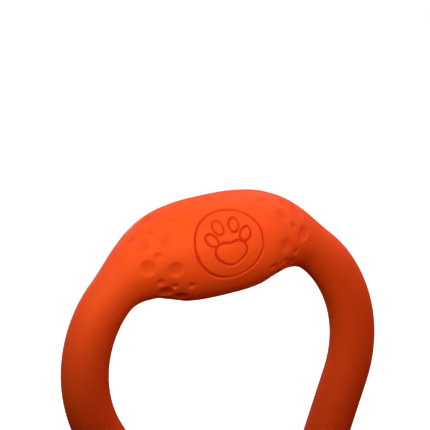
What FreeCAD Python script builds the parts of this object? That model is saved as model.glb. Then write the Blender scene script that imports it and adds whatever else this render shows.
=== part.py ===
"""Training bumper: a dimpled rubber bulb that runs out into a pear-shaped carrying loop.

The loop stands upright in the XZ plane with its bulb at the top and its hand bend at the bottom.
The origin is the middle of the hand bend's underside, +Z is up and the marked face looks along -Y.

Every piece follows one centreline, which starts in the middle of the bulb, runs to the right, turns
down through the shoulder and the flank, runs straight to the hand bend and comes back up the left.
A rubber skin, moulded as a front and a rear half, closes over foam cores that are threaded like beads
on a pull rope. The rope's two ends are crimped in a ferrule inside the bulb.
"""
import FreeCAD
import Part
import Sketcher
import math
import os
import sys

from FreeCAD import Placement, Rotation, Vector

# Driving dimensions, millimetres and degrees.
SIZES = {
    # outer shape
    "bulb_diameter": 63.5,
    "bulb_half_length": 76.0,
    "bulb_fullness": 1.46,
    "arm_diameter": 29.5,
    "crown_half_run": 25.0,
    "shoulder_radius": 66.6,
    "shoulder_turn": 58.0,
    "flank_radius": 79.5,
    "flank_turn": 57.0,
    "hand_bend_radius": 42.0,
    # dimples: one patch of eight, repeated round the bulb and the same on both sides of its middle;
    # a place is the distance from the bulb's middle, a roll the turn from the front towards the top
    "dimple_repeats": 4,
    "large_dimple_diameter": 9.6,
    "large_dimple_depth": 1.1,
    "small_dimple_diameter": 4.8,
    "small_dimple_depth": 0.8,
    "neck_place": 51.0,
    "neck_roll": 18.0,
    "upper_place": 36.0,
    "upper_roll": 39.0,
    "lower_place": 37.5,
    "lower_roll": -1.0,
    "shoulder_place": 47.0,
    "shoulder_roll": 54.0,
    "centre_place": 43.0,
    "centre_roll": 25.0,
    "outer_place": 40.0,
    "outer_roll": 64.0,
    "crown_place": 28.5,
    "crown_roll": 62.0,
    "throat_place": 48.5,
    "throat_roll": -13.0,
    # inside
    "skin_wall": 5.5,
    "skin_clearance": 0.3,
    "core_end_gap": 0.6,
    "rope_diameter": 8.0,
    "rope_clearance": 0.3,
    "rope_end_gap": 1.0,
    "ferrule_length": 34.0,
    "ferrule_wall": 1.8,
    "ferrule_clearance": 0.1,
    "crimp_radius": 3.0,
    "crimp_depth": 0.7,
    "crimp_spacing": 9.0,
}

BULB_STATIONS = 25
LARGE_DIMPLES = ("neck", "upper", "lower", "shoulder")
SMALL_DIMPLES = ("centre", "outer", "crown", "throat")
PARTS_FOLDER = "parts"


# ---------------------------------------------------------------------------------------------------
# Sheet and document helpers


def make_sheet(doc):
    """Write the driving dimensions to a spreadsheet, one alias to a row."""
    sheet = doc.addObject("Spreadsheet::Sheet", "Sizes")
    for row, (alias, value) in enumerate(SIZES.items(), start=1):
        sheet.set(f"A{row}", alias)
        sheet.set(f"B{row}", str(value))
        sheet.setAlias(f"B{row}", alias)
    doc.recompute()
    return sheet


def add_form(doc, name, shape):
    """Keep a bent round form, which no primitive or sketch feature gives, as a document object."""
    feature = doc.addObject("Part::Feature", name)
    feature.Label = name
    feature.Shape = shape
    feature.Placement = Placement()
    return feature


def add_sketch(body, name):
    """Start a sketch on the body's own XZ plane."""
    plane = next(item for item in body.Origin.OriginFeatures if item.Role == "XZ_Plane")
    sketch = body.newObject("Sketcher::SketchObject", name)
    sketch.AttachmentSupport = [(plane, "")]
    sketch.MapMode = "FlatFace"
    return sketch


def bind(sketch, constraint, name, expression):
    """Add a named dimension to a sketch and bind it to the sheet."""
    index = sketch.addConstraint(constraint)
    sketch.renameConstraint(index, name)
    sketch.setExpression(f"Constraints.{name}", expression)


def add_turned(body, kind, name, sketch):
    """Turn a sketch once round its horizontal axis, as a Revolution or a Groove."""
    feature = body.newObject(kind, name)
    feature.Profile = sketch
    feature.ReferenceAxis = (sketch, ["H_Axis"])
    feature.Angle = 360
    return feature


def add_boolean(doc, kind, name, base, tool):
    """Combine two document objects with a Part::Cut or a Part::Common."""
    feature = doc.addObject(kind, name)
    feature.Label = name
    feature.Base = base
    feature.Tool = tool
    return feature


# ---------------------------------------------------------------------------------------------------
# Centreline


class Run:
    """A straight stretch or an arc of the centreline, all in the XZ plane.

    heading is the clockwise angle from +X, in radians, that the centreline has where the stretch
    starts. A stretch with a radius of zero is straight; an arc always turns clockwise.
    """

    def __init__(self, start, heading, length, radius=0.0):
        self.start = start
        self.heading = heading
        self.length = length
        self.radius = radius

    def heading_at(self, along):
        """Heading at a distance along this stretch."""
        return self.heading + along / self.radius if self.radius else self.heading

    def point_at(self, along):
        """Point at a distance along this stretch."""
        if not self.radius:
            step = Vector(math.cos(self.heading), 0, -math.sin(self.heading))
            return self.start + step * along
        end = self.heading_at(along)
        shift_x = math.sin(end) - math.sin(self.heading)
        shift_z = math.cos(end) - math.cos(self.heading)
        return self.start + Vector(shift_x, 0, shift_z) * self.radius

    def edge(self, first, last):
        """The stretch between two distances, as one edge."""
        if not self.radius:
            return Part.LineSegment(self.point_at(first), self.point_at(last)).toShape()
        middle = self.point_at((first + last) / 2)
        return Part.Arc(self.point_at(first), middle, self.point_at(last)).toShape()


class Centreline:
    """The closed centreline, measured from the middle of the bulb to the right and round."""

    def __init__(self, sizes):
        shoulder_turn = math.radians(sizes.shoulder_turn)
        flank_turn = math.radians(sizes.flank_turn)
        closing_turn = math.pi - shoulder_turn - flank_turn
        bend_radius = sizes.hand_bend_radius

        right_side = [(sizes.crown_half_run, 0.0)]
        right_side.append((sizes.shoulder_radius * shoulder_turn, sizes.shoulder_radius))
        right_side.append((sizes.flank_radius * flank_turn, sizes.flank_radius))
        flank_end = self.lay_out(Vector(0, 0, 0), right_side)[-1]
        flank_foot = flank_end.point_at(flank_end.length)
        inward = flank_foot.x - bend_radius * math.sin(closing_turn)
        arm_run = inward / math.cos(closing_turn)
        right_side.append((arm_run, 0.0))

        hand_bend = (2 * bend_radius * closing_turn, bend_radius)
        self.runs = self.lay_out(Vector(0, 0, 0), right_side + [hand_bend] + right_side[::-1])
        self.length = sum(run.length for run in self.runs)
        self.bend_start = sum(length for length, _ in right_side)
        self.bend_end = self.length - self.bend_start

        bend = self.runs[len(right_side)]
        lowest = bend.point_at(bend.length / 2).z - sizes.arm_diameter / 2
        for run in self.runs:
            run.start = run.start - Vector(0, 0, lowest)
        self.bulb_middle = self.runs[0].start

    @staticmethod
    def lay_out(start, stretches):
        """Join stretches, given as (length, radius), end to end and tangent to each other."""
        runs = []
        heading = 0.0
        for length, radius in stretches:
            run = Run(start, heading, length, radius)
            runs.append(run)
            start = run.point_at(length)
            heading = run.heading_at(length)
        return runs

    def locate(self, place):
        """Point and heading at a place on the centreline; a negative place lies to the left."""
        place = place % self.length
        for run in self.runs[:-1]:
            if place <= run.length:
                return run.point_at(place), run.heading_at(place)
            place -= run.length
        last = self.runs[-1]
        return last.point_at(place), last.heading_at(place)

    def wire(self, first, last):
        """The centreline between two places as one wire of tangent lines and arcs."""
        edges = []
        run_start = 0.0
        for run in self.runs:
            low = max(first - run_start, 0.0)
            high = min(last - run_start, run.length)
            if high - low > 1e-6:
                edges.append(run.edge(low, high))
            run_start += run.length
        return Part.Wire(edges)

    def section(self, place, radius):
        """A circle round the centreline, square to it."""
        point, heading = self.locate(place)
        tangent = Vector(math.cos(heading), 0, -math.sin(heading))
        return Part.Wire([Part.Circle(point, tangent, radius).toShape()])


# ---------------------------------------------------------------------------------------------------
# Round forms along the centreline


def bulb_radius(sizes, place):
    """Outer radius at a place: full in the middle of the bulb, easing into the arm at its end."""
    arm_radius = sizes.arm_diameter / 2
    share = min(abs(place) / sizes.bulb_half_length, 1.0)
    swell = math.cos(math.pi / 2 * share ** sizes.bulb_fullness) ** 2
    return arm_radius + (sizes.bulb_diameter / 2 - arm_radius) * swell


def bulb_form(sizes, centreline, inset, cut_back=0.0):
    """The bulb's solid, with its surface moved inwards by inset and both ends cut back."""
    reach = sizes.bulb_half_length - cut_back
    sections = []
    for station in range(BULB_STATIONS):
        place = reach * (2 * station / (BULB_STATIONS - 1) - 1)
        sections.append(centreline.section(place, bulb_radius(sizes, place) - inset))
    return Part.makeLoft(sections, True, False)


def pipe_form(centreline, first, last, radius):
    """A solid round bar along the centreline between two places."""
    path = centreline.wire(first, last)
    return path.makePipe(Part.Face(centreline.section(first, radius)))


def loop_form(sizes, centreline, inset):
    """Bulb and arms in one closed ring, with its surface moved inwards by inset."""
    bulb = bulb_form(sizes, centreline, inset)
    first = sizes.bulb_half_length
    last = centreline.length - sizes.bulb_half_length
    arms = pipe_form(centreline, first, last, sizes.arm_diameter / 2 - inset)
    return bulb.fuse(arms)


# ---------------------------------------------------------------------------------------------------
# Dimples


def dimple_cutter(sizes, centreline, place, roll, diameter, depth):
    """A shallow cap of a ball, flat side out, that leaves one round hollow in the bulb's surface."""
    step = 0.01
    point, heading = centreline.locate(place)
    radius = bulb_radius(sizes, place)
    slope = (bulb_radius(sizes, place + step) - bulb_radius(sizes, place - step)) / (2 * step)
    tangent = Vector(math.cos(heading), 0, -math.sin(heading))
    upward = Vector(math.sin(heading), 0, math.cos(heading))
    outward = Vector(0, -1, 0) * math.cos(roll) + upward * math.sin(roll)
    normal = outward - tangent * slope
    normal.normalize()

    # The bulb curves away across the dimple and hardly along it, so half its curvature is taken off.
    ball_radius = 1 / (8 * depth / diameter ** 2 - 1 / (2 * radius))
    centre = point + outward * radius + normal * (ball_radius - depth)
    rim_latitude = math.degrees(math.asin(1 - 2 * depth / ball_radius))
    return Part.makeSphere(ball_radius, centre, -normal, rim_latitude, 90, 360)


def dimple_cutters(sizes, centreline):
    """The patch of dimples, repeated round both ends of the bulb; it leaves the marked face bare."""
    large = (sizes.large_dimple_diameter, sizes.large_dimple_depth)
    small = (sizes.small_dimple_diameter, sizes.small_dimple_depth)
    patch = [(name, large) for name in LARGE_DIMPLES] + [(name, small) for name in SMALL_DIMPLES]
    turn = 360.0 / sizes.dimple_repeats
    cutters = []
    for name, (diameter, depth) in patch:
        place = getattr(sizes, f"{name}_place")
        for index in range(int(sizes.dimple_repeats)):
            roll = math.radians(getattr(sizes, f"{name}_roll") + turn * index)
            for side in (-1, 1):
                cutters.append(dimple_cutter(sizes, centreline, side * place, roll, diameter, depth))
    return cutters


# ---------------------------------------------------------------------------------------------------
# Sub-parts


def half_space(doc, name, sign):
    """A block that covers the front (sign -1) or the rear (sign 1) of the whole loop."""
    block = doc.addObject("Part::Box", name)
    block.Label = name
    width = "2 * (Sizes.crown_half_run + Sizes.shoulder_radius + Sizes.flank_radius + Sizes.bulb_diameter)"
    depth = "Sizes.bulb_diameter"
    height = "4 * (Sizes.shoulder_radius + Sizes.flank_radius + Sizes.hand_bend_radius)"
    block.setExpression("Length", width)
    block.setExpression("Width", depth)
    block.setExpression("Height", height)
    block.setExpression("Placement.Base.x", f"-({width}) / 2")
    block.setExpression("Placement.Base.y", "0" if sign > 0 else f"-{depth}")
    block.setExpression("Placement.Base.z", "-Sizes.bulb_diameter")
    return block


def make_skins(doc, sizes, centreline, halves):
    """The two rubber half shells, which meet on the loop's middle plane."""
    outside = add_form(doc, "skin_outside", loop_form(sizes, centreline, 0.0))
    cavity = add_form(doc, "skin_cavity", loop_form(sizes, centreline, sizes.skin_wall))
    shell = add_boolean(doc, "Part::Cut", "skin_shell", outside, cavity)
    dimples = add_form(doc, "skin_dimples", Part.makeCompound(dimple_cutters(sizes, centreline)))
    dimpled = add_boolean(doc, "Part::Cut", "skin_dimpled", shell, dimples)
    return [
        add_boolean(doc, "Part::Common", "front_skin", dimpled, halves["front"]),
        add_boolean(doc, "Part::Common", "rear_skin", dimpled, halves["rear"]),
    ]


def core_radius(sizes):
    """Outer radius of the foam threaded through the arms."""
    return sizes.arm_diameter / 2 - sizes.skin_wall - sizes.skin_clearance


def bore_radius(sizes):
    """Radius of the channel that the rope lies in."""
    return sizes.rope_diameter / 2 + sizes.rope_clearance


def make_bulb_floats(doc, sizes, centreline, halves):
    """The float that fills the bulb, in two halves that close round the rope and its ferrule."""
    inset = sizes.skin_wall + sizes.skin_clearance
    solid = bulb_form(sizes, centreline, inset, sizes.core_end_gap / 2)
    float_form = add_form(doc, "float_form", solid)

    overshoot = sizes.bulb_half_length + sizes.core_end_gap
    right = pipe_form(centreline, 0.0, overshoot, bore_radius(sizes))
    left = pipe_form(centreline, centreline.length - overshoot, centreline.length, bore_radius(sizes))
    pocket_radius = sizes.rope_diameter / 2 + sizes.ferrule_wall + sizes.rope_clearance
    pocket_half = sizes.ferrule_length / 2 + sizes.rope_clearance
    pocket = Part.makeCylinder(pocket_radius, 2 * pocket_half,
                               centreline.bulb_middle - Vector(pocket_half, 0, 0), Vector(1, 0, 0))
    channel = add_form(doc, "rope_channel", right.fuse(left).fuse(pocket))

    hollow = add_boolean(doc, "Part::Cut", "float_hollow", float_form, channel)
    return [
        add_boolean(doc, "Part::Common", "bulb_float_front", hollow, halves["front"]),
        add_boolean(doc, "Part::Common", "bulb_float_rear", hollow, halves["rear"]),
    ]


def make_tube_core(doc, sizes, centreline, name, first, last):
    """A foam tube threaded on the rope between two places on the centreline."""
    gap = sizes.core_end_gap / 2
    outer = pipe_form(centreline, first + gap, last - gap, core_radius(sizes))
    inner = pipe_form(centreline, first + gap, last - gap, bore_radius(sizes))
    outside = add_form(doc, f"{name}_outside", outer)
    bore = add_form(doc, f"{name}_bore", inner)
    return add_boolean(doc, "Part::Cut", name, outside, bore)


def make_cores(doc, sizes, centreline):
    """The foam tubes of both arms and the firm grip core in the hand bend."""
    bulb_end = sizes.bulb_half_length
    return [
        make_tube_core(doc, sizes, centreline, "right_arm_core", bulb_end, centreline.bend_start),
        make_tube_core(doc, sizes, centreline, "grip_core", centreline.bend_start, centreline.bend_end),
        make_tube_core(doc, sizes, centreline, "left_arm_core",
                       centreline.bend_end, centreline.length - bulb_end),
    ]


def make_rope(doc, sizes, centreline):
    """The pull rope, once round the whole loop, with its two ends facing each other in the bulb."""
    gap = sizes.rope_end_gap / 2
    rope = pipe_form(centreline, gap, centreline.length - gap, sizes.rope_diameter / 2)
    return [add_form(doc, "pull_rope", rope)]


def make_ferrule(doc, centreline):
    """The crimped sleeve that joins the rope's two ends, turned about its own axis."""
    body = doc.addObject("PartDesign::Body", "rope_ferrule")
    body.Label = "rope_ferrule"
    inner = "(Sizes.rope_diameter / 2 + Sizes.ferrule_clearance)"
    outer = "(Sizes.rope_diameter / 2 + Sizes.ferrule_wall)"

    wall = add_sketch(body, "ferrule_wall_profile")
    corners = [Vector(-10, 4, 0), Vector(10, 4, 0), Vector(10, 6, 0), Vector(-10, 6, 0)]
    for index, corner in enumerate(corners):
        wall.addGeometry(Part.LineSegment(corner, corners[(index + 1) % 4]), False)
    for index in range(4):
        wall.addConstraint(Sketcher.Constraint("Coincident", index, 2, (index + 1) % 4, 1))
    for index, direction in ((1, "Vertical"), (2, "Horizontal"), (3, "Vertical")):
        wall.addConstraint(Sketcher.Constraint(direction, index))
    wall.addConstraint(Sketcher.Constraint("Symmetric", 0, 1, 0, 2, -2))
    bind(wall, Sketcher.Constraint("DistanceX", 0, 1, 0, 2, 20), "length", "Sizes.ferrule_length")
    bind(wall, Sketcher.Constraint("DistanceY", -1, 1, 0, 2, 4), "inner", inner)
    bind(wall, Sketcher.Constraint("DistanceY", -1, 1, 2, 1, 6), "outer", outer)
    sleeve = add_turned(body, "PartDesign::Revolution", "ferrule_sleeve", wall)

    crimp = add_sketch(body, "crimp_profile")
    crimp.addGeometry(Part.Circle(Vector(-5, 8, 0), Vector(0, 0, 1), 3), False)
    bind(crimp, Sketcher.Constraint("Radius", 0, 3), "radius", "Sizes.crimp_radius")
    bind(crimp, Sketcher.Constraint("DistanceX", 0, 3, -1, 1, 5), "place", "Sizes.crimp_spacing")
    bind(crimp, Sketcher.Constraint("DistanceY", -1, 1, 0, 3, 8), "height",
         f"{outer} + Sizes.crimp_radius - Sizes.crimp_depth")
    groove = add_turned(body, "PartDesign::Groove", "crimp_groove", crimp)

    crimps = body.newObject("PartDesign::LinearPattern", "crimp_grooves")
    crimps.Originals = [groove]
    crimps.Direction = (crimp, ["H_Axis"])
    crimps.setExpression("Length", "2 * Sizes.crimp_spacing")
    crimps.Occurrences = 3
    body.Tip = crimps
    body.Placement = Placement(centreline.bulb_middle, Rotation())
    doc.recompute()
    if crimps.Shape.Volume >= sleeve.Shape.Volume:
        raise RuntimeError("the ferrule's crimps cut nothing")
    return [body]


# ---------------------------------------------------------------------------------------------------
# Document


class Sizes:
    """The sheet's cells as plain numbers, by alias."""

    def __init__(self, sheet):
        for alias in SIZES:
            setattr(self, alias, float(sheet.get(alias)))


def check_document(doc, sub_parts):
    """Stop before anything is written if an object failed or a sub-part isn't one valid solid."""
    failed = [item.Name for item in doc.Objects if {"Invalid", "Error"} & set(item.State)]
    for sub_part in sub_parts:
        shape = sub_part.Shape
        if shape.isNull() or not shape.isValid() or len(shape.Solids) != 1:
            failed.append(sub_part.Label)
    if failed:
        sys.exit("failed objects: " + ", ".join(failed))


def main():
    """Build the document, check it and write one STEP file for each sub-part."""
    os.makedirs(PARTS_FOLDER, exist_ok=True)
    doc = FreeCAD.newDocument("TrainingBumper")
    sizes = Sizes(make_sheet(doc))
    centreline = Centreline(sizes)
    halves = {"front": half_space(doc, "front_half", -1), "rear": half_space(doc, "rear_half", 1)}

    sub_parts = make_skins(doc, sizes, centreline, halves)
    sub_parts += make_bulb_floats(doc, sizes, centreline, halves)
    sub_parts += make_cores(doc, sizes, centreline)
    sub_parts += make_rope(doc, sizes, centreline)
    sub_parts += make_ferrule(doc, centreline)
    doc.recompute()
    check_document(doc, sub_parts)

    for sub_part in sub_parts:
        box = sub_part.Shape.BoundBox
        print(f"{sub_part.Label}: {sub_part.Shape.Volume / 1000:.1f} cm3, "
              f"{box.XLength:.1f} x {box.YLength:.1f} x {box.ZLength:.1f} mm")
        sub_part.Shape.exportStep(os.path.join(PARTS_FOLDER, f"{sub_part.Label}.step"))


main()
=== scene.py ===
"""Training bumper: the looks of a dimpled rubber bulb on a pear-shaped carrying loop.

The rubber skin's two halves are half tubes run round the loop, given their wall, split finer where the
surface has detail, and then swollen to the moulded form with its dimples and sunk mark. The cores and
the rope that the skin holds follow the same centreline.
"""

import logging
import math
from collections.abc import Callable, Iterator
from contextlib import contextmanager
from dataclasses import dataclass, field
from enum import Enum

import bmesh
import bpy
import numpy as np
from bpy.types import Material, Mesh, Node, NodeSocket, NodeTree, Object
from mathutils import Matrix, Vector

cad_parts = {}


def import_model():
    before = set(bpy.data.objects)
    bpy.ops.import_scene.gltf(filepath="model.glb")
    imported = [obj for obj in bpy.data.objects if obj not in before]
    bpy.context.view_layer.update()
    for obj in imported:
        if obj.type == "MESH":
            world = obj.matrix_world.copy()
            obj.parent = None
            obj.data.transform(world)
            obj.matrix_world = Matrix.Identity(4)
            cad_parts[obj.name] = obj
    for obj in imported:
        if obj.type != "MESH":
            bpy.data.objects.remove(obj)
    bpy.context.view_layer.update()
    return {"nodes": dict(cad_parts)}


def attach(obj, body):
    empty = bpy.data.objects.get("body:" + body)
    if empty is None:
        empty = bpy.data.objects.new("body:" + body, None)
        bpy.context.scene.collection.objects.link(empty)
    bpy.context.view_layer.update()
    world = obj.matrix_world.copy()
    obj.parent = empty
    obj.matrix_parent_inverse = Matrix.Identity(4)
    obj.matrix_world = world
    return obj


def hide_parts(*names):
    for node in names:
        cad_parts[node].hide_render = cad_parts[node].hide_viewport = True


MM = 0.001
SLACK = 1e-9
BODY = "root"

log = logging.getLogger("training_bumper")


# ---- Small tools ----


def linear(hex_colour: str) -> tuple[float, float, float, float]:
    """Turn an sRGB hex colour into linear RGBA.

    Args:
        hex_colour: six hex digits, such as "ff6a2c".

    Returns:
        The linear red, green, blue and an alpha of one.
    """
    knee, dark_slope, offset, power = 0.04045, 12.92, 0.055, 2.4
    channels = [int(hex_colour[i:i + 2], 16) / 255 for i in (0, 2, 4)]
    lights = [c / dark_slope if c <= knee else ((c + offset) / (1 + offset)) ** power for c in channels]
    return (*lights, 1.0)


def add_node(tree: NodeTree, kind: str, links: dict | None = None, **settings) -> Node:
    """Add a node, set its properties or sockets and link its inputs.

    Args:
        tree: the node tree to add to.
        kind: the node's type name.
        links: input name or index to the output socket that feeds it.
        settings: node properties by name, or input sockets by name with underscores for spaces.

    Returns:
        The new node.
    """
    node = tree.nodes.new(kind)
    for name, value in settings.items():
        if hasattr(node, name):
            setattr(node, name, value)
        else:
            node.inputs[name.replace("_", " ")].default_value = value
    for name, socket in (links or {}).items():
        tree.links.new(socket, node.inputs[name])
    return node


def new_material(name: str) -> tuple[Material, NodeTree, Node]:
    """Start a material with only its output node.

    Args:
        name: the material's name.

    Returns:
        The material, its node tree and its output node.
    """
    material = bpy.data.materials.new(name)
    material.use_nodes = True
    tree = material.node_tree
    tree.nodes.clear()
    return material, tree, tree.nodes.new("ShaderNodeOutputMaterial")


def object_noise(tree: NodeTree, size: float, detail: float = 2.0) -> NodeSocket:
    """Add a noise whose patches have about the given size on the object."""
    place = add_node(tree, "ShaderNodeTexCoord").outputs["Object"]
    noise = add_node(tree, "ShaderNodeTexNoise", {"Vector": place}, Scale=1 / size, Detail=detail)
    return noise.outputs["Fac"]


def blend(tree: NodeTree, share: NodeSocket, first: str, second: str) -> NodeSocket:
    """Add a blend from one hex colour to another by a share."""
    mix = add_node(tree, "ShaderNodeMix", {0: share}, data_type="RGBA")
    mix.inputs[6].default_value = linear(first)
    mix.inputs[7].default_value = linear(second)
    return mix.outputs[2]


def rescale(tree: NodeTree, value: NodeSocket, before: tuple[float, float],
            after: tuple[float, float] = (0.0, 1.0)) -> NodeSocket:
    """Add a clamped change of a value from one range to another."""
    change = add_node(tree, "ShaderNodeMapRange", {"Value": value}, From_Min=before[0],
                      From_Max=before[1], To_Min=after[0], To_Max=after[1])
    return change.outputs["Result"]


def relief(tree: NodeTree, height: NodeSocket, strength: float, depth: float) -> NodeSocket:
    """Add a fine relief of some depth in metres, and return its normal."""
    bump = add_node(tree, "ShaderNodeBump", {"Height": height}, Strength=strength, Distance=depth)
    return bump.outputs["Normal"]


def cover(tree: NodeTree, output: Node, links: dict, **settings) -> None:
    """Add the surface shader with its inputs and send it to the output."""
    shader = add_node(tree, "ShaderNodeBsdfPrincipled", links, **settings)
    tree.links.new(shader.outputs["BSDF"], output.inputs["Surface"])


def dress(piece: Object, material: Material) -> None:
    """Give a piece one material all over."""
    piece.data.materials.clear()
    piece.data.materials.append(material)


def activate(piece: Object) -> None:
    """Select one object alone and make it active."""
    bpy.ops.object.select_all(action="DESELECT")
    piece.select_set(True)
    bpy.context.view_layer.objects.active = piece


@contextmanager
def editing(piece: Object) -> Iterator[None]:
    """Hold a piece in edit mode with all of it selected, then go back to object mode."""
    activate(piece)
    bpy.ops.object.mode_set(mode="EDIT")
    bpy.ops.mesh.select_all(action="SELECT")
    yield
    bpy.ops.object.mode_set(mode="OBJECT")


def apply_modifier(piece: Object, kind: str, **settings) -> None:
    """Add a modifier with settings and apply it."""
    activate(piece)
    modifier = piece.modifiers.new(kind.title(), kind)
    for name, value in settings.items():
        setattr(modifier, name, value)
    bpy.ops.object.modifier_apply(modifier=modifier.name)


def vertex_places(mesh: Mesh) -> np.ndarray:
    """Read a mesh's vertices as an (n, 3) array."""
    flat = np.empty(len(mesh.vertices) * 3)
    mesh.vertices.foreach_get("co", flat)
    return flat.reshape(-1, 3)


def set_vertex_places(mesh: Mesh, places: np.ndarray) -> None:
    """Write a mesh's vertices from an (n, 3) array."""
    mesh.vertices.foreach_set("co", places.ravel())
    mesh.update()


# ---- The form that every piece follows ----


@dataclass(frozen=True)
class Arc:
    """One stretch of the centreline: a turn of some radius, or a straight run where radius is zero."""

    start: tuple[float, float]
    heading: float
    length: float
    radius: float = 0.0

    def at(self, along: np.ndarray) -> tuple[np.ndarray, np.ndarray, np.ndarray]:
        """X, Z and clockwise heading at distances along the stretch."""
        if not self.radius:
            heading = np.full_like(along, self.heading)
            x = self.start[0] + along * np.cos(heading)
            z = self.start[1] - along * np.sin(heading)
            return x, z, heading
        heading = self.heading + along / self.radius
        x = self.start[0] + self.radius * (np.sin(heading) - math.sin(self.heading))
        z = self.start[1] + self.radius * (np.cos(heading) - math.cos(self.heading))
        return x, z, heading

    @property
    def centre(self) -> tuple[float, float]:
        """Centre of the turn, in X and Z."""
        return (self.start[0] - self.radius * math.sin(self.heading),
                self.start[1] - self.radius * math.cos(self.heading))

    @property
    def end(self) -> tuple[tuple[float, float], float]:
        """Point and heading where the stretch ends."""
        x, z, heading = self.at(np.array([self.length]))
        return (float(x[0]), float(z[0])), float(heading[0])

    def nearest(self, x: np.ndarray, z: np.ndarray) -> np.ndarray:
        """Distance along the stretch of the point nearest to each X and Z."""
        if not self.radius:
            right, down = x - self.start[0], self.start[1] - z
            along = right * math.cos(self.heading) + down * math.sin(self.heading)
            return np.clip(along, 0.0, self.length)
        angle = np.arctan2(x - self.centre[0], z - self.centre[1])
        turn = np.mod(angle - self.heading + math.pi, 2 * math.pi) - math.pi
        return np.clip(turn * self.radius, 0.0, self.length)


@dataclass(frozen=True)
class BumperForm:
    """Sizes of the loop in metres, and where a place on its surface lies.

    A place is the distance along the centreline from the middle of the bulb, negative to the left, the
    angle round it from the front towards the outside of the loop, and the depth under the skin.
    """

    bulb_diameter: float = 63.5 * MM
    bulb_half_length: float = 76.0 * MM
    bulb_fullness: float = 1.46
    arm_diameter: float = 29.5 * MM
    crown_half_run: float = 25.0 * MM
    shoulder_radius: float = 66.6 * MM
    shoulder_turn: float = math.radians(58.0)
    flank_radius: float = 79.5 * MM
    flank_turn: float = math.radians(57.0)
    hand_bend_radius: float = 42.0 * MM
    skin_wall: float = 5.5 * MM
    skin_clearance: float = 0.3 * MM
    rope_diameter: float = 8.0 * MM
    rope_clearance: float = 0.3 * MM
    stretches: list[Arc] = field(init=False)

    def __post_init__(self) -> None:
        """Set the right half's stretches at the height that stands the hand bend on the floor."""
        bend_middle = self.lay_out(0.0)[-1].end[0][1]
        object.__setattr__(self, "stretches", self.lay_out(self.arm_diameter / 2 - bend_middle))

    def lay_out(self, bulb_height: float) -> list[Arc]:
        """Join the right half's stretches end to end, from the bulb's middle to the hand bend's.

        Args:
            bulb_height: height of the bulb's middle.

        Returns:
            The crown run, shoulder, flank, arm and half of the hand bend.
        """
        closing_turn = math.pi - self.shoulder_turn - self.flank_turn
        crown = Arc((0.0, bulb_height), 0.0, self.crown_half_run)
        shoulder = Arc(*crown.end, self.shoulder_radius * self.shoulder_turn, self.shoulder_radius)
        flank = Arc(*shoulder.end, self.flank_radius * self.flank_turn, self.flank_radius)
        inward = flank.end[0][0] - self.hand_bend_radius * math.sin(closing_turn)
        arm = Arc(*flank.end, inward / math.cos(closing_turn))
        bend = Arc(*arm.end, self.hand_bend_radius * closing_turn, self.hand_bend_radius)
        return [crown, shoulder, flank, arm, bend]

    @property
    def half_length(self) -> float:
        """Length of the centreline from the middle of the bulb to the middle of the hand bend."""
        return sum(stretch.length for stretch in self.stretches)

    @property
    def bend_start(self) -> float:
        """Distance along the centreline at which the hand bend starts."""
        return self.half_length - self.stretches[-1].length

    @property
    def core_radius(self) -> float:
        """Outer radius of the cores in the arms."""
        return self.arm_diameter / 2 - self.skin_wall - self.skin_clearance

    @property
    def channel_radius(self) -> float:
        """Radius of the channel that the rope lies in."""
        return self.rope_diameter / 2 + self.rope_clearance

    @property
    def bulb_middle(self) -> Vector:
        """The middle of the bulb."""
        return Vector((0.0, 0.0, self.stretches[0].start[1]))

    def outer_radius(self, along: np.ndarray) -> np.ndarray:
        """Radius of the skin's outside at distances along the centreline."""
        arm_radius = self.arm_diameter / 2
        share = np.clip(np.abs(along) / self.bulb_half_length, 0.0, 1.0)
        swell = np.cos(math.pi / 2 * share ** self.bulb_fullness) ** 2
        return arm_radius + (self.bulb_diameter / 2 - arm_radius) * swell

    def centreline(self, along: np.ndarray) -> tuple[np.ndarray, np.ndarray]:
        """Points on the centreline and the headings there, for signed distances."""
        distance = np.abs(along)
        x, z, heading = (np.zeros_like(distance) for _ in range(3))
        start = 0.0
        for stretch in self.stretches:
            inside = (distance >= start) & (distance <= start + stretch.length + SLACK)
            x[inside], z[inside], heading[inside] = stretch.at(distance[inside] - start)
            start += stretch.length
        side = np.where(along < 0, -1.0, 1.0)
        points = np.stack([x * side, np.zeros_like(x), z], axis=1)
        return points, heading * side

    def place_of(self, points: np.ndarray) -> tuple[np.ndarray, np.ndarray, np.ndarray]:
        """Find where points lie: along the centreline, round it, and how far from it.

        Args:
            points: an (n, 3) array near the loop.

        Returns:
            Signed distance along, angle round and distance from the centreline.
        """
        x, z = np.abs(points[:, 0]), points[:, 2]
        best = np.full(len(points), np.inf)
        along = np.zeros(len(points))
        start = 0.0
        for stretch in self.stretches:
            near = stretch.nearest(x, z)
            near_x, near_z, _ = stretch.at(near)
            gap = np.hypot(x - near_x, z - near_z)
            closer = gap < best
            best[closer] = gap[closer]
            along[closer] = start + near[closer]
            start += stretch.length
        along = np.where(points[:, 0] < 0, -along, along)
        middle, heading = self.centreline(along)
        away = points - middle
        upward = away[:, 0] * np.sin(heading) + away[:, 2] * np.cos(heading)
        return along, np.arctan2(upward, -away[:, 1]), np.hypot(upward, away[:, 1])

    def around(self, along: np.ndarray, roll: np.ndarray, radius: np.ndarray | float) -> tuple:
        """Points at some radius round the centreline, with the directions outward and along it."""
        middle, heading = self.centreline(along)
        tangent = np.stack([np.cos(heading), np.zeros_like(heading), -np.sin(heading)], axis=1)
        upward = np.stack([np.sin(heading), np.zeros_like(heading), np.cos(heading)], axis=1)
        outward = np.sin(roll)[:, None] * upward
        outward[:, 1] -= np.cos(roll)
        return middle + np.reshape(radius, (-1, 1)) * outward, outward, tangent

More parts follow.
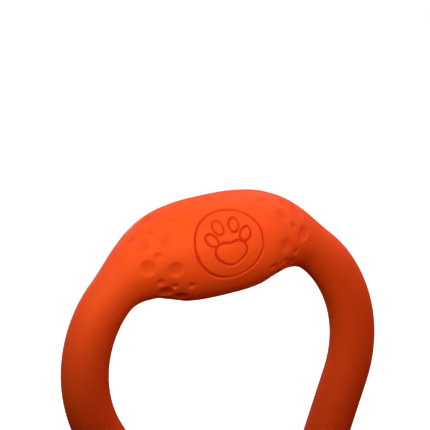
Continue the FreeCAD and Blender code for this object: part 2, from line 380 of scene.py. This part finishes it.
    def surface(self, along: np.ndarray, roll: np.ndarray, inset: np.ndarray | float = 0.0) -> tuple:
        """Points and outward normals at places on the skin, or under it by inset."""
        points, outward, tangent = self.around(along, roll, self.outer_radius(along) - inset)
        step = 0.05 * MM
        slope = (self.outer_radius(along + step) - self.outer_radius(along - step)) / (2 * step)
        normal = outward - slope[:, None] * tangent
        normal /= np.linalg.norm(normal, axis=1, keepdims=True)
        return points, normal


# ---- Relief of the rubber: dimples and the sunk mark ----


@dataclass(frozen=True)
class Dimple:
    """One round hollow, by its place on the skin and its size."""

    along: float
    roll: float
    diameter: float
    depth: float


@dataclass(frozen=True)
class DimplePattern:
    """A patch of eight dimples, repeated round both ends of the bulb.

    A size is a diameter and a depth. A place is the distance from the middle of the bulb and the turn
    from the front towards the top. The bowl power sets how flat a dimple's floor is, and the rim power
    how softly its edge runs out.
    """

    repeats: int = 4
    large_size: tuple[float, float] = (10.8 * MM, 1.3 * MM)
    small_size: tuple[float, float] = (5.6 * MM, 1.05 * MM)
    bowl_power: float = 3.0
    rim_power: float = 1.5
    large: tuple[tuple[float, float], ...] = (
        (51.0 * MM, math.radians(18.0)),
        (36.0 * MM, math.radians(39.0)),
        (37.5 * MM, math.radians(-1.0)),
        (47.0 * MM, math.radians(54.0)),
    )
    small: tuple[tuple[float, float], ...] = (
        (43.0 * MM, math.radians(25.0)),
        (40.0 * MM, math.radians(64.0)),
        (28.5 * MM, math.radians(62.0)),
        (48.5 * MM, math.radians(-13.0)),
    )
    nearest: float = 25.0 * MM
    furthest: float = 58.0 * MM

    def dimples(self) -> list[Dimple]:
        """Every dimple on the bulb."""
        patch = [(*place, *self.large_size) for place in self.large]
        patch += [(*place, *self.small_size) for place in self.small]
        turns = [2 * math.pi * index / self.repeats for index in range(self.repeats)]
        return [
            Dimple(side * along, roll + turn, diameter, depth)
            for along, roll, diameter, depth in patch
            for turn in turns
            for side in (-1, 1)
        ]

    def press(self, form: BumperForm, points: np.ndarray) -> np.ndarray:
        """Depth pressed in by the dimples at points on the plain surface."""
        depth = np.zeros(len(points))
        for dimple in self.dimples():
            centre, _ = form.surface(np.array([dimple.along]), np.array([dimple.roll]))
            reach = np.linalg.norm(points - centre, axis=1) / (dimple.diameter / 2)
            inside = reach < 1.0
            bowl = (1 - reach[inside] ** self.bowl_power) ** self.rim_power
            depth[inside] = np.maximum(depth[inside], dimple.depth * bowl)
        return depth


@dataclass(frozen=True)
class PawMark:
    """A plain paw in a ring, sunk in the front of the bulb as rounded grooves."""

    along: float = -1.5 * MM
    roll: float = math.radians(16.0)
    ring_radius: float = 22.5 * MM
    line_width: float = 2.8 * MM
    line_depth: float = 1.15 * MM
    pad_radius: float = 8.6 * MM
    pad_drop: float = 6.2 * MM
    pad_widening: float = 0.20
    pad_lobes: float = 0.10
    toe_length: float = 4.8 * MM
    toe_width: float = 3.3 * MM
    toe_leans: tuple[float, ...] = (-62.0, -22.0, 22.0, 62.0)
    toe_reaches: tuple[float, ...] = (12.6 * MM, 14.0 * MM, 14.0 * MM, 12.6 * MM)
    toe_drop: float = 2.2 * MM
    toe_turn_share: float = 0.55
    reach: float = 26.0 * MM

    def flat_place(self, form: BumperForm, along: np.ndarray, roll: np.ndarray) -> tuple:
        """Unroll places on the skin to distances right of and above the mark's middle."""
        radius = float(form.outer_radius(np.array([self.along]))[0])
        turned = np.mod(roll - self.roll + math.pi, 2 * math.pi) - math.pi
        return along - self.along, turned * radius

    def toes(self) -> list[tuple[float, float, float]]:
        """Middle and lean of each toe, from left to right."""
        return [
            (reach * math.sin(lean), reach * math.cos(lean) - self.toe_drop, lean * self.toe_turn_share)
            for lean, reach in zip(map(math.radians, self.toe_leans), self.toe_reaches)
        ]

    def line_distance(self, right: np.ndarray, up: np.ndarray) -> np.ndarray:
        """Distance from each unrolled place to the nearest drawn line."""
        nearest = np.abs(np.hypot(right, up) - self.ring_radius)
        for toe_right, toe_up, lean in self.toes():
            across = (right - toe_right) * math.cos(lean) - (up - toe_up) * math.sin(lean)
            length = (right - toe_right) * math.sin(lean) + (up - toe_up) * math.cos(lean)
            reach = np.hypot(across / self.toe_width, length / self.toe_length) + SLACK
            edge = np.abs(1 - 1 / reach) * np.hypot(across, length)
            nearest = np.minimum(nearest, edge)
        pad_up = up + self.pad_drop
        angle = np.arctan2(right, pad_up)
        outline = self.pad_radius * (
            1 - self.pad_widening * np.cos(2 * angle) - self.pad_lobes * np.cos(3 * angle))
        change = self.pad_radius * (
            2 * self.pad_widening * np.sin(2 * angle) + 3 * self.pad_lobes * np.sin(3 * angle))
        slant = np.hypot(1.0, change / outline)
        return np.minimum(nearest, np.abs(np.hypot(right, pad_up) - outline) / slant)

    def press(self, form: BumperForm, along: np.ndarray, roll: np.ndarray) -> np.ndarray:
        """Depth pressed in by the grooves at places on the skin."""
        right, up = self.flat_place(form, along, roll)
        share = np.clip(self.line_distance(right, up) / (self.line_width / 2), 0.0, 1.0)
        depth = self.line_depth * np.cos(math.pi / 2 * share) ** 2
        depth[np.hypot(right, up) > self.reach] = 0.0
        return depth


# ---- Finishes ----


@dataclass(frozen=True)
class MouldedRubber:
    """Natural rubber, pressed in a bead-blasted mould and dyed through in signal orange."""

    body: str = "f6480d"
    worn: str = "f95213"
    # Colour of the painted shade in the grooves and dimples.
    recess_shade_colour: str = "d22f0a"
    roughness: tuple[float, float] = (0.62, 0.76)
    specular: float = 0.2
    ior: float = 1.52
    grain_size: float = 0.9 * MM
    grain_depth: float = 0.08 * MM
    grain_strength: float = 0.45
    rub_size: float = 9 * MM
    rub_range: tuple[float, float] = (0.3, 0.7)
    cloud_size: float = 28 * MM
    parting_width: float = 0.3 * MM

    def material(self) -> Material:
        """Satin rubber with a fine blasted grain, faint cloudy dye and painted shade in the grooves and
        dimples.
        """
        material, tree, output = new_material("natural_rubber_pressed_orange")

        # The dye never mixes quite evenly, which the eye reads as soft rubber and not as paint.
        dyed = blend(tree, object_noise(tree, self.cloud_size, detail=3.0), self.body, self.worn)

        # Painted shade: grooves and dimples get a darker colour, standing in for the light that they
        # would hold back.
        painted_recess_shade = add_node(tree, "ShaderNodeAttribute", attribute_name="painted_recess_shade").outputs["Fac"]
        recess_shaded = add_node(tree, "ShaderNodeMix", {0: painted_recess_shade, 6: dyed}, data_type="RGBA")
        recess_shaded.inputs[7].default_value = linear(self.recess_shade_colour)

        # The mould's halves leave a hairline on the middle plane, where the flash was trimmed flush.
        place = add_node(tree, "ShaderNodeTexCoord").outputs["Object"]
        depth_place = add_node(tree, "ShaderNodeSeparateXYZ", {"Vector": place}).outputs["Y"]
        off_plane = add_node(tree, "ShaderNodeMath", {0: depth_place}, operation="ABSOLUTE").outputs[0]
        hairline = rescale(tree, off_plane, (0.0, self.parting_width), (-1.0, 0.0))

        # The blasted mould leaves a grain about a millimetre across, so highlights stay wide and soft.
        grain = object_noise(tree, self.grain_size, detail=5.0)
        height = add_node(tree, "ShaderNodeMath", {0: grain, 1: hairline}, operation="ADD").outputs[0]

        # Hands and storage rub it shinier in soft patches about a centimetre across.
        rub = object_noise(tree, self.rub_size, detail=3.0)
        gloss = rescale(tree, rub, self.rub_range, self.roughness)
        bumps = relief(tree, height, self.grain_strength, self.grain_depth)
        cover(tree, output, {"Base Color": recess_shaded.outputs[2], "Roughness": gloss, "Normal": bumps},
              IOR=self.ior, Specular_IOR_Level=self.specular)
        return material


@dataclass(frozen=True)
class ClosedCellFoam:
    """Cross-linked polyethylene foam, blown and cut, in a warm off-white."""

    body: str = "e9e4d6"
    shade: str = "d3ccba"
    roughness: float = 0.85
    cell_size: float = 0.9 * MM
    cell_depth: float = 0.2 * MM
    cell_strength: float = 0.5
    mottle_size: float = 12 * MM

    def material(self) -> Material:
        """Matt foam whose cut cells show as tiny pits, in patches a little darker and lighter."""
        material, tree, output = new_material("polyethylene_foam_closed_cell")
        place = add_node(tree, "ShaderNodeTexCoord").outputs["Object"]
        cells = add_node(tree, "ShaderNodeTexVoronoi", {"Vector": place}, Scale=1 / self.cell_size)
        pits = relief(tree, cells.outputs["Distance"], self.cell_strength, self.cell_depth)
        tone = blend(tree, object_noise(tree, self.mottle_size, detail=4.0), self.body, self.shade)
        cover(tree, output, {"Base Color": tone, "Normal": pits}, Roughness=self.roughness)
        return material


@dataclass(frozen=True)
class ExtrudedRubber:
    """Firm nitrile rubber, extruded and dusted with talc so that it threads easily."""

    body: str = "232426"
    talc: str = "4b4c4d"
    roughness: float = 0.6
    dust_size: float = 3.5 * MM
    dust_range: tuple[float, float] = (0.45, 0.75)
    grain_size: float = 0.7 * MM
    grain_depth: float = 0.05 * MM
    grain_strength: float = 0.2

    def material(self) -> Material:
        """Near-black rubber with a soft bloom of talc and a fine grain."""
        material, tree, output = new_material("nitrile_rubber_extruded_black")
        share = rescale(tree, object_noise(tree, self.dust_size, detail=6.0), self.dust_range)
        grain = relief(tree, object_noise(tree, self.grain_size), self.grain_strength, self.grain_depth)
        cover(tree, output, {"Base Color": blend(tree, share, self.body, self.talc), "Normal": grain},
              Roughness=self.roughness)
        return material


@dataclass(frozen=True)
class PolyesterYarn:
    """Twisted polyester yarn of one colour, for the strands of the braid."""

    name: str
    body: str
    # Colour of the painted shade between the plies, which also gives the fibres their random darker
    # tone.
    shade: str
    roughness: float = 0.75
    sheen: float = 0.3
    ply_spacing: float = 0.7 * MM
    ply_depth: float = 0.08 * MM
    ply_strength: float = 0.6
    fibre_size: float = 0.15 * MM

    def material(self) -> Material:
        """Soft yarn with its plies as ridges across the strand and loose fibres between them; its
        colour is darker as painted shade low between the plies, and darker at random with the fibres.
        """
        material, tree, output = new_material(self.name)
        lay = add_node(tree, "ShaderNodeAttribute", attribute_name="lay").outputs["Fac"]
        turns = add_node(tree, "ShaderNodeMath", {0: lay}, operation="MULTIPLY")
        turns.inputs[1].default_value = 2 * math.pi / self.ply_spacing
        plies = add_node(tree, "ShaderNodeMath", {0: turns.outputs[0]}, operation="SINE").outputs[0]
        fibres = object_noise(tree, self.fibre_size)
        height = add_node(tree, "ShaderNodeMath", {0: plies, 1: fibres}, operation="ADD").outputs[0]
        # Painted shade: the colour is darker low between the plies, and darker at random with the
        # fibres.
        tone = blend(tree, rescale(tree, height, (-0.5, 1.5)), self.shade, self.body)
        ridges = relief(tree, height, self.ply_strength, self.ply_depth)
        cover(tree, output, {"Base Color": tone, "Normal": ridges},
              Roughness=self.roughness, Sheen_Weight=self.sheen)
        return material


@dataclass(frozen=True)
class DrawnAluminium:
    """Soft aluminium tube, drawn along its length and then crimped."""

    body: str = "c6c9cc"
    dull: str = "a9acb0"
    roughness: float = 0.36
    line_spacing: float = 0.25 * MM
    line_depth: float = 0.02 * MM
    line_strength: float = 0.25
    stretch: float = 0.04

    def material(self) -> Material:
        """Bright metal with fine, duller drawing lines along the tube."""
        material, tree, output = new_material("aluminium_drawn_crimped")
        place = add_node(tree, "ShaderNodeTexCoord").outputs["Object"]
        drawn = add_node(tree, "ShaderNodeMapping", {"Vector": place}, Scale=(self.stretch, 1.0, 1.0))
        lines = add_node(tree, "ShaderNodeTexNoise", {"Vector": drawn.outputs[0]},
                         Scale=1 / self.line_spacing, Detail=3.0).outputs["Fac"]
        tone = blend(tree, lines, self.body, self.dull)
        scratches = relief(tree, lines, self.line_strength, self.line_depth)
        cover(tree, output, {"Base Color": tone, "Normal": scratches}, Metallic=1.0,
              Roughness=self.roughness)
        return material


# ---- Tubes along the centreline ----


class Face(Enum):
    """Which half of the skin, by the direction that it looks along Y."""

    FRONT = -1
    REAR = 1


@dataclass
class LoopTube:
    """The modelling moves that every piece along the centreline shares.

    The steps are the lengths of a face on each stretch. Vertices nearer than the merge distance are
    doubles.
    """

    form: BumperForm
    ring_segments: int = 48
    bulb_step: float = 2.5 * MM
    flank_step: float = 3.6 * MM
    arm_step: float = 7.5 * MM
    merge_distance: float = 0.02 * MM
    smooth_angle: float = math.radians(60.0)

    def start_ring(self, along: float, radius: float) -> Object:
        """Add a ring square to the right half's centreline and leave it selected in edit mode.

        Args:
            along: distance from the middle of the bulb.
            radius: radius of the ring.

        Returns:
            The object that holds the ring.
        """
        middle, heading = self.form.centreline(np.array([along]))
        bpy.ops.object.select_all(action="DESELECT")
        bpy.ops.mesh.primitive_circle_add(
            vertices=self.ring_segments, radius=radius, location=middle[0],
            rotation=(0.0, math.pi / 2 + float(heading[0]), 0.0))
        piece = bpy.context.active_object
        bpy.ops.object.transform_apply(location=True, rotation=True, scale=True)
        bpy.ops.object.mode_set(mode="EDIT")
        bpy.ops.mesh.select_mode(type="VERT")
        bpy.ops.mesh.select_all(action="SELECT")
        return piece

    def keep_half(self, piece: Object, face: Face) -> None:
        """Delete the half of the ring that looks the other way."""
        mesh = bmesh.from_edit_mesh(piece.data)
        for vertex in mesh.verts:
            vertex.select_set(vertex.co.y * face.value < -self.merge_distance / 2)
        mesh.select_flush_mode()
        bpy.ops.mesh.delete(type="VERT")
        bpy.ops.mesh.select_all(action="SELECT")

    def run(self, first: float, last: float) -> None:
        """Run the selected ring along the right half's centreline, then leave edit mode.

        Args:
            first: distance from the middle of the bulb at which the ring is.
            last: distance at which the run ends.
        """
        crown, shoulder, _, arm, _ = self.form.stretches
        steps_of = {crown: self.bulb_step, shoulder: self.bulb_step, arm: self.arm_step}
        start = 0.0
        for stretch in self.form.stretches:
            low, high = max(first - start, 0.0), min(last - start, stretch.length)
            start += stretch.length
            length = high - low
            if length < self.merge_distance:
                continue
            steps = math.ceil(length / steps_of.get(stretch, self.flank_step))
            if stretch.radius:
                centre = (stretch.centre[0], 0.0, stretch.centre[1])
                bpy.ops.mesh.spin(steps=steps, angle=-length / stretch.radius, center=centre,
                                  axis=(0.0, 1.0, 0.0))
                continue
            stride = length / steps
            move = (stride * math.cos(stretch.heading), 0.0, -stride * math.sin(stretch.heading))
            for _ in range(steps):
                bpy.ops.mesh.extrude_region_move(TRANSFORM_OT_translate={"value": move})
        bpy.ops.object.mode_set(mode="OBJECT")

    def mirror(self, piece: Object) -> None:
        """Give the tube its left half, joined to the right one on the loop's middle."""
        apply_modifier(piece, "MIRROR", use_axis=(True, False, False),
                       merge_threshold=self.merge_distance)

    def thicken(self, piece: Object, wall: float) -> None:
        """Merge the open tube's doubles, face it away from the centreline and give it its wall.

        Args:
            piece: the open tube.
            wall: thickness of the wall, inwards.
        """
        with editing(piece):
            bpy.ops.mesh.remove_doubles(threshold=self.merge_distance)
            bpy.ops.mesh.normals_make_consistent(inside=False)
        polygon = piece.data.polygons[0]
        middle = np.array([polygon.center[:]])
        centre, _ = self.form.centreline(self.form.place_of(middle)[0])
        if Vector(middle[0] - centre[0]).dot(polygon.normal) < 0:
            with editing(piece):
                bpy.ops.mesh.flip_normals()
        apply_modifier(piece, "SOLIDIFY", thickness=wall, offset=-1.0, use_even_offset=True)

    def finish(self, piece: Object, name: str, node: str, slot: str) -> None:
        """Name a dressed piece, smooth its round faces and hand it to the frame.

        Args:
            piece: the finished mesh.
            name: the piece's name.
            node: the CAD node that it stands for.
            slot: the material slot that its finish belongs to; not used.
        """
        piece.name = piece.data.name = name
        activate(piece)
        bpy.ops.object.shade_smooth_by_angle(angle=self.smooth_angle)
        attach(piece, BODY)
        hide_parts(node)
        log.info("%s: %d faces", name, len(piece.data.polygons))


# ---- The rubber skin ----


@dataclass
class RubberSkin(LoopTube):
    """The two bonded half shells of the bumper's skin."""

    rubber: Material = field(kw_only=True)
    ring_segments: int = 80
    # Share of the painted recess shade that the deepest dimples get.
    dimple_shade: float = 0.25
    pattern: DimplePattern = field(default_factory=DimplePattern)
    mark: PawMark = field(default_factory=PawMark)

    @property
    def wall_middle(self) -> float:
        """Distance from the centreline that parts the plain half tube's outside from its inside."""
        return (self.form.arm_diameter - self.form.skin_wall) / 2

    def refine(self, shell: Object, wanted: Callable[[np.ndarray, np.ndarray], np.ndarray]) -> None:
        """Split each outer face that a test picks into four.

        Args:
            shell: the half shell, still in its tube shape.
            wanted: a test of (along, roll) arrays that picks faces by the places of their middles.
        """
        mesh = shell.data
        middles = np.array([polygon.center[:] for polygon in mesh.polygons])
        along, roll, distance = self.form.place_of(middles)
        picked = (distance > self.wall_middle) & wanted(along, roll)
        with editing(shell):
            bpy.ops.mesh.select_mode(type="FACE")
            bpy.ops.mesh.select_all(action="DESELECT")
        mesh.polygons.foreach_set("select", picked)
        bpy.ops.object.mode_set(mode="EDIT")
        bpy.ops.mesh.subdivide(number_cuts=1, quadcorner="INNERVERT")
        bpy.ops.object.mode_set(mode="OBJECT")

    def swell(self, shell: Object) -> None:
        """Move the tube's vertices out to the moulded form and press in its dimples and mark."""
        places = vertex_places(shell.data)
        along, roll, distance = self.form.place_of(places)
        under = np.where(distance > self.wall_middle, 0.0, self.form.skin_wall)
        points, normals = self.form.surface(along, roll, under)
        dimpled, grooved = np.zeros(len(points)), np.zeros(len(points))
        detailed = (under == 0.0) & (np.abs(along) < self.form.bulb_half_length)
        dimpled[detailed] = self.pattern.press(self.form, points[detailed])
        grooved[detailed] = self.mark.press(self.form, along[detailed], roll[detailed])
        set_vertex_places(shell.data, points - normals * np.maximum(dimpled, grooved)[:, None])
        # Painted shade: a darkening share for each point, full at the bottom of the grooves and up to a
        # quarter in the dimples.
        painted_recess_shade = shell.data.attributes.new("painted_recess_shade", "FLOAT", "POINT")
        deepest = self.pattern.large_size[1]
        shade = grooved / self.mark.line_depth + self.dimple_shade * dimpled / deepest
        painted_recess_shade.data.foreach_set("value", np.clip(shade, 0.0, 1.0).astype(np.float32))

    def on_bulb(self, along: np.ndarray, roll: np.ndarray) -> np.ndarray:
        """Pick places on the bulb."""
        return np.abs(along) < self.form.bulb_half_length

    def near_mark(self, along: np.ndarray, roll: np.ndarray) -> np.ndarray:
        """Pick places within reach of the mark."""
        right, up = self.mark.flat_place(self.form, along, roll)
        return np.hypot(right, up) < self.mark.reach

    def near_detail(self, along: np.ndarray, roll: np.ndarray) -> np.ndarray:
        """Pick places on the dimpled ends of the bulb or within reach of the mark."""
        dimpled = (np.abs(along) > self.pattern.nearest) & (np.abs(along) < self.pattern.furthest)
        return dimpled | self.near_mark(along, roll)

    def build(self, face: Face) -> None:
        """Model one half shell, with its faces finer where there is more to show."""
        shell = self.start_ring(0.0, self.form.arm_diameter / 2)
        self.keep_half(shell, face)
        self.run(0.0, self.form.half_length)
        self.mirror(shell)
        self.thicken(shell, self.form.skin_wall)
        self.refine(shell, self.on_bulb)
        self.refine(shell, self.near_detail)
        if face is Face.FRONT:
            self.refine(shell, self.near_mark)
        self.swell(shell)
        dress(shell, self.rubber)
        side = face.name.lower()
        self.finish(shell, f"{side}_rubber_shell", f"{side}_skin", "moulded_rubber")


# ---- What the skin holds ----


@dataclass
class RopeCores(LoopTube):
    """What is threaded on the rope: the bulb's float, in two halves, and the arms' and bend's cores."""

    soft_finish: Material = field(kw_only=True)
    firm_finish: Material = field(kw_only=True)
    end_gap: float = 0.6 * MM
    blank_wall: float = 3.0 * MM
    pocket_radius: float = 6.1 * MM
    pocket_half_length: float = 17.3 * MM
    float_edge: float = 0.8 * MM
    core_edge: float = 1.0 * MM
    edge_segments: int = 3
    sharp_angle: float = math.radians(50.0)

    def hollow(self, foam: Object) -> None:
        """Move a plain half tube out to the inside of the skin and in to the rope's channel."""
        along, roll, distance = self.form.place_of(vertex_places(foam.data))
        outer = distance > self.form.core_radius - self.blank_wall / 2
        filled = self.form.outer_radius(along) - self.form.skin_wall - self.form.skin_clearance
        in_pocket = np.abs(along) < self.pocket_half_length
        channel = np.where(in_pocket, self.pocket_radius, self.form.channel_radius)
        points, _, _ = self.form.around(along, roll, np.where(outer, filled, channel))
        set_vertex_places(foam.data, points)

    def soften(self, piece: Object, edge: float) -> None:
        """Round a piece's cut edges."""
        apply_modifier(piece, "BEVEL", width=edge, segments=self.edge_segments, limit_method="ANGLE",
                       angle_limit=self.sharp_angle, use_clamp_overlap=True)

    def build_float(self, face: Face) -> None:
        """Model one half of the bulb's float, with the rope's channel and the ferrule's pocket."""
        foam = self.start_ring(0.0, self.form.core_radius)
        self.keep_half(foam, face)
        self.run(0.0, self.form.bulb_half_length - self.end_gap / 2)
        self.mirror(foam)
        self.thicken(foam, self.blank_wall)
        self.hollow(foam)
        self.soften(foam, self.float_edge)
        dress(foam, self.soft_finish)
        side = face.name.lower()
        self.finish(foam, f"{side}_foam_float", f"bulb_float_{side}", "float_foam")

    def build_core(self, first: float, last: float, both_sides: bool) -> Object:
        """Model a core between two places on the right half of the loop.

        Args:
            first: distance from the middle of the bulb at which the core starts.
            last: distance at which it ends, or reaches the loop's middle.
            both_sides: whether the core goes on over the loop's middle to the same place on the left.

        Returns:
            The core, as a tube with rounded ends.
        """
        core = self.start_ring(first + self.end_gap / 2, self.form.core_radius)
        self.run(first + self.end_gap / 2, last if both_sides else last - self.end_gap / 2)
        if both_sides:
            self.mirror(core)
        self.thicken(core, self.form.core_radius - self.form.channel_radius)
        self.soften(core, self.core_edge)
        return core

    def build_arm_cores(self) -> None:
        """Model the right arm's foam core, and the left one as its mirror."""
        right = self.build_core(self.form.bulb_half_length, self.form.bend_start, both_sides=False)
        activate(right)
        bpy.ops.object.duplicate()
        left = bpy.context.active_object
        left.scale.x = -1.0
        bpy.ops.object.transform_apply(location=False, rotation=False, scale=True)
        for core, side in ((right, "right"), (left, "left")):
            with editing(core):
                bpy.ops.mesh.normals_make_consistent(inside=False)
            dress(core, self.soft_finish)
            self.finish(core, f"{side}_foam_core", f"{side}_arm_core", "float_foam")

    def build_grip(self) -> None:
        """Model the firm core of the hand bend."""
        grip = self.build_core(self.form.bend_start, self.form.half_length, both_sides=True)
        dress(grip, self.firm_finish)
        self.finish(grip, "grip_rubber_core", "grip_core", "firm_rubber")


@dataclass
class PullRope(LoopTube):
    """The braided rope: two sets of strands that wind opposite ways, over and under each other."""

    yarn: Material = field(kw_only=True)
    tracer: Material = field(kw_only=True)
    strands_each_way: int = 6
    pitch: float = 36.0 * MM
    braid_radius: float = 2.4 * MM
    weave: float = 0.42 * MM
    strand_radius: float = 1.1 * MM
    filler_radius: float = 1.6 * MM
    step: float = 1.0 * MM
    end_gap: float = 1.0 * MM

    def route(self) -> tuple[np.ndarray, np.ndarray]:
        """Signed places along the centreline, once round the loop, and the distances gone to them."""
        length = 2 * self.form.half_length
        count = math.ceil(length / self.step)
        travelled = np.linspace(self.end_gap / 2, length - self.end_gap / 2, count)
        return np.where(travelled <= length / 2, travelled, travelled - length), travelled

    def tube(self, points: np.ndarray, radius: float) -> Object:
        """Model one round strand through points, closed at both ends.

        Args:
            points: an (n, 3) array that the strand's middle follows.
            radius: the strand's radius.

        Returns:
            The strand as a mesh object.
        """
        curve = bpy.data.curves.new("strand", "CURVE")
        curve.dimensions = "3D"
        curve.bevel_depth = radius
        curve.bevel_resolution = 1
        curve.use_fill_caps = True
        spline = curve.splines.new("POLY")
        spline.points.add(len(points) - 1)
        spline.points.foreach_set("co", np.column_stack([points, np.ones(len(points))]).ravel())
        strand = bpy.data.objects.new("strand", curve)
        bpy.context.scene.collection.objects.link(strand)
        activate(strand)
        bpy.ops.object.convert(target="MESH")
        return bpy.context.active_object

    def keep_lay(self, rope: Object) -> None:
        """Keep each point's place along the rope, which the yarn's ridges follow."""
        along, _, _ = self.form.place_of(vertex_places(rope.data))
        lay = rope.data.attributes.new("lay", "FLOAT", "POINT")
        lay.data.foreach_set("value", along.astype(np.float32))

    def build(self) -> None:
        """Braid the rope round a straight-laid filler, with the first strand in the tracer colour."""
        along, travelled = self.route()
        turn = 2 * math.pi * travelled / self.pitch
        over = self.weave * np.cos(self.strands_each_way * turn)
        strands = []
        for way in (1, -1):
            for index in range(self.strands_each_way):
                roll = 2 * math.pi * index / self.strands_each_way + way * turn
                points, _, _ = self.form.around(along, roll, self.braid_radius + way * over)
                strand = self.tube(points, self.strand_radius)
                dress(strand, self.yarn if strands else self.tracer)
                strands.append(strand)
        middle, _ = self.form.centreline(along)
        filler = self.tube(middle, self.filler_radius)
        dress(filler, self.yarn)
        activate(filler)
        for strand in strands:
            strand.select_set(True)
        bpy.ops.object.join()
        rope = bpy.context.active_object
        self.keep_lay(rope)
        self.finish(rope, "braided_pull_rope", "pull_rope", "braided_rope")


# ---- Stage ----


@dataclass(frozen=True)
class Softbox:
    """A square light: its place from the middle of the bulb, watts, colour and beam."""

    name: str
    place: tuple[float, float, float]
    power: float
    colour: str = "ffffff"
    beam: float = math.radians(180.0)
    size: float = 0.15


@dataclass(frozen=True)
class Studio:
    """Camera, lights and a white floor.

    The camera circles the middle of the bulb, and its shifts move that middle in the frame.
    """

    form: BumperForm
    azimuth: float = math.radians(-24.0)
    elevation: float = math.radians(16.0)
    roll: float = math.radians(-5.25)
    distance: float = 1.075
    shift_right: float = -1.36 * MM
    shift_up: float = -18.52 * MM
    focal_length: float = 145.1
    sensor_width: float = 36.0
    nearest: float = 0.05
    floor_size: float = 6.0
    floor_colour: str = "f4f4f4"
    fill: float = 0.05
    fill_colour: str = "ffa890"
    softboxes: tuple[Softbox, ...] = (
        Softbox("upper_left", (-0.30, 0.0, 0.35), 0.74),
        Softbox("right_side", (0.40, -0.05, 0.20), 0.64, "fff0e8"),
        Softbox("rear_right", (0.25, 0.20, 0.28), 0.66, "fff0e8"),
        Softbox("rear_fill", (-0.10, 0.60, 0.20), 1.20, size=0.40),
        Softbox("front_bounce", (0.04, -0.30, 0.06), 0.15, "ff9080"),
        Softbox("front_spot", (0.06, -0.32, 0.12), 0.034, "ecffc8", math.radians(40.0)),
        Softbox("left_spot", (-0.45, -0.10, 0.15), 0.010, beam=math.radians(35.0)),
        Softbox("key_spot", (-0.25, -0.30, 0.28), 0.070, "ecffc8", math.radians(40.0)),
    )

    def add_camera(self) -> None:
        """Look at the bulb's front from a little left of and above it."""
        level = math.cos(self.elevation)
        back = Vector((math.sin(self.azimuth) * level, -math.cos(self.azimuth) * level,
                       math.sin(self.elevation)))
        right = Vector((math.cos(self.azimuth), math.sin(self.azimuth), 0.0))
        up = back.cross(right)
        leaning_right = right * math.cos(self.roll) + up * math.sin(self.roll)
        leaning_up = up * math.cos(self.roll) - right * math.sin(self.roll)
        place = (self.form.bulb_middle + back * self.distance
                 - leaning_right * self.shift_right - leaning_up * self.shift_up)
        camera = bpy.data.objects.new("camera", bpy.data.cameras.new("camera"))
        camera.data.lens = self.focal_length
        camera.data.sensor_width = self.sensor_width
        camera.data.clip_start = self.nearest
        turn = Matrix((leaning_right, leaning_up, back)).transposed()
        camera.matrix_world = Matrix.Translation(place) @ turn.to_4x4()
        bpy.context.scene.collection.objects.link(camera)
        bpy.context.scene.camera = camera

    def hang(self, box: Softbox) -> None:
        """Hang a softbox that faces the middle of the bulb."""
        data = bpy.data.lights.new(box.name, "AREA")
        data.size = box.size
        data.energy = box.power
        data.spread = box.beam
        data.color = linear(box.colour)[:3]
        light = bpy.data.objects.new(box.name, data)
        bpy.context.scene.collection.objects.link(light)
        light.location = self.form.bulb_middle + Vector(box.place)
        light.rotation_euler = (-Vector(box.place)).to_track_quat("-Z", "Y").to_euler()

    def add_floor(self) -> None:
        """Lay a pale floor under the loop, which is clear from below so that the underside shows."""
        bpy.ops.object.select_all(action="DESELECT")
        bpy.ops.mesh.primitive_plane_add(size=self.floor_size)
        floor = bpy.context.active_object
        floor.name = "floor"
        material, tree, output = new_material("white_paper_sweep")
        paper = add_node(tree, "ShaderNodeBsdfDiffuse", Roughness=0.5)
        paper.inputs["Color"].default_value = linear(self.floor_colour)
        glow = add_node(tree, "ShaderNodeEmission", Strength=1.0)
        both = add_node(tree, "ShaderNodeAddShader", {0: paper.outputs[0], 1: glow.outputs[0]})
        clear = add_node(tree, "ShaderNodeBsdfTransparent")
        under = add_node(tree, "ShaderNodeNewGeometry").outputs["Backfacing"]
        mix = add_node(tree, "ShaderNodeMixShader", {0: under, 1: both.outputs[0], 2: clear.outputs[0]})
        tree.links.new(mix.outputs[0], output.inputs["Surface"])
        dress(floor, material)
        floor.visible_diffuse = False
        floor.visible_glossy = False

    def light_world(self) -> None:
        """Show white behind the loop and light it with a dimmer even grey."""
        world = bpy.data.worlds.new("white_backdrop")
        bpy.context.scene.world = world
        world.use_nodes = True
        tree = world.node_tree
        tree.nodes.clear()
        seen = add_node(tree, "ShaderNodeLightPath").outputs["Is Camera Ray"]
        fill = add_node(tree, "ShaderNodeBackground", Color=linear(self.fill_colour),
                        Strength=self.fill)
        white = add_node(tree, "ShaderNodeBackground", Color=linear("ffffff"), Strength=1.0)
        mix = add_node(tree, "ShaderNodeMixShader", {0: seen, 1: fill.outputs[0], 2: white.outputs[0]})
        output = add_node(tree, "ShaderNodeOutputWorld", {"Surface": mix.outputs[0]})
        output.is_active_output = True

    def set_up(self) -> None:
        """Build the whole stage."""
        bpy.context.scene.view_settings.view_transform = "Standard"
        self.add_camera()
        self.add_floor()
        self.light_world()
        for box in self.softboxes:
            self.hang(box)


# ---- Build ----


def main() -> None:
    """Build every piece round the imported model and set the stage."""
    logging.basicConfig(level=logging.INFO, format="%(message)s")
    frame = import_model()
    form = BumperForm()
    skin = RubberSkin(form, rubber=MouldedRubber().material())
    cores = RopeCores(form, soft_finish=ClosedCellFoam().material(),
                      firm_finish=ExtrudedRubber().material())
    ivory = PolyesterYarn("polyester_yarn_ivory", "efe8d6", "bfb59c")
    orange = PolyesterYarn("polyester_yarn_orange", "f06a28", "b8400f")
    rope = PullRope(form, yarn=ivory.material(), tracer=orange.material())
    for face in Face:
        skin.build(face)
        cores.build_float(face)
    cores.build_arm_cores()
    cores.build_grip()
    rope.build()
    metal = DrawnAluminium().material()
    for metal_slot in frame["nodes"]["rope_ferrule"].material_slots:
        metal_slot.material = metal
    Studio(form).set_up()


if __name__ == "__main__":
    main()
